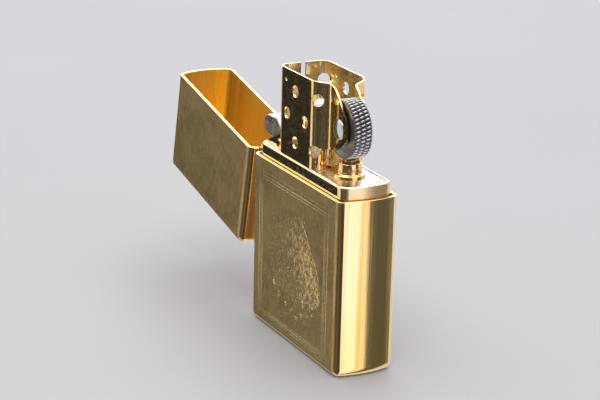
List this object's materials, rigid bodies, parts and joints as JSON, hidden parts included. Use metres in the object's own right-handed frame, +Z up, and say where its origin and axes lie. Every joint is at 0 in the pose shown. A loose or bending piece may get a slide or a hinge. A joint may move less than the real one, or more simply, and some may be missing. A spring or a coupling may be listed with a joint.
{
  "type": "flip-top lighter",
  "caption": "Flip-top windproof petrol lighter in gold-coloured brass: hinged lid, wick insert with pierced chimney, spring-fed flint, knurled wheel and cam.",
  "frame": {"origin": "centre of the flat underside of the case", "axes": "+Z up out of the case's mouth, +X along the width from the hinge towards the flint wheel, Y through the thickness; the narrowest extent is Y"},
  "size_m": [0.08, 0.0126, 0.0547],
  "materials": {
    "brass_polished": "brushed and polished",
    "brass_inner": "polished",
    "steel_leaf": "rolled sheet",
    "steel_cam": "satin",
    "steel_rivet": "polished",
    "wheel_steel": "hardened, dark, cut teeth",
    "flint_alloy": "pressed alloy",
    "spring_steel": "wire",
    "cotton": "loose fibre",
    "felt": "pressed felt",
    "wick_cord": "braided cord"
  },
  "bodies": {
    "case": {"case_body": "brass_polished", "hinge_leaf_lower": "brass_inner", "hinge_pin": "steel_rivet", "insert_shell": "brass_inner", "chimney": "brass_inner", "wheel_rivet": "steel_rivet", "flint_tube": "brass_inner", "flint_tube_collar": "brass_inner", "flint_screw": "brass_inner", "cam_rivet": "brass_inner", "cam_spring": "steel_leaf", "wick": "wick_cord", "wick_sleeve": "brass_inner", "cotton_wad_1": "cotton", "cotton_wad_2": "cotton", "cotton_wad_3": "cotton", "felt_pad": "felt"},
    "lid": {"case_lid": "brass_polished", "hinge_leaf_upper": "brass_inner"},
    "wheel": {"flint_wheel": "wheel_steel"},
    "cam": {"cam": "steel_cam"},
    "feed": {"flint": "flint_alloy", "flint_plunger": "brass_inner", "flint_spring": "spring_steel"}
  },
  "joints": [
    {"name": "lid_hinge", "type": "hinge", "parent": "case", "child": "lid", "pos_m": [-0.0192, 0, 0.0349], "axis": [0, -1, 0], "range_deg": [-168.4, 0]},
    {"name": "cam_hinge", "type": "hinge", "parent": "case", "child": "cam", "pos_m": [-0.0109, 0, 0.0385], "axis": [0, 1, 0], "range_deg": [0, 30]},
    {"name": "wheel_spin", "type": "hinge", "parent": "case", "child": "wheel", "pos_m": [0.0099, 0, 0.0463], "axis": [0, 1, 0], "continuous": true},
    {"name": "flint_feed", "type": "slide", "parent": "case", "child": "feed", "axis": [0, 0, 1], "range_m": [-0.001, 0], "stiffness_N_per_m": 100, "springref_m": 0.01, "deforming": ["flint_spring"]}
  ],
  "couplings": [
    {"joint": "cam_hinge", "follows": "lid_hinge", "ratio": -0.178}
  ]
}
